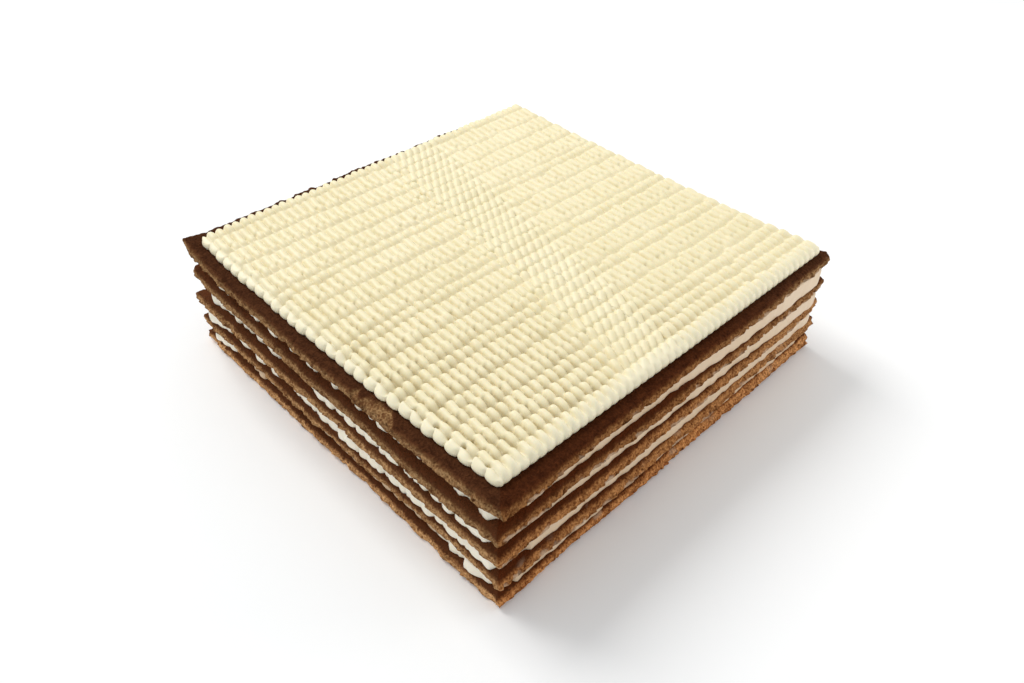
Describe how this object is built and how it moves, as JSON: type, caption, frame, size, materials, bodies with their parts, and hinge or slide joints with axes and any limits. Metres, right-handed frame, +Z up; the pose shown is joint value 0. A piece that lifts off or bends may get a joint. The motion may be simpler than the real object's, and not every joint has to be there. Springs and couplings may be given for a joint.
{
  "type": "mille feuille slice",
  "caption": "Square mille feuille of thin chocolate sponge sheets with cream between them and a piped cream top.",
  "frame": {"origin": "centre of the underside's box, on the surface the slab rests on", "axes": "+Z up through the layers, -Y the front cut side, +X the right cut side, the piped lanes run along Y"},
  "size_m": [0.2026, 0.2036, 0.0598],
  "materials": {
    "sponge": "matte, dark baked top face and lighter crumbly cut edge",
    "filling": "soft satin whipped cream",
    "topping": "soft satin piped cream"
  },
  "bodies": {
    "root": {"sponge_1": "sponge", "sponge_2": "sponge", "sponge_3": "sponge", "sponge_4": "sponge", "sponge_5": "sponge", "cream_1": "filling", "cream_2": "filling", "cream_3": "filling", "cream_4": "filling", "cream_top": "topping"}
  },
  "joints": []
}
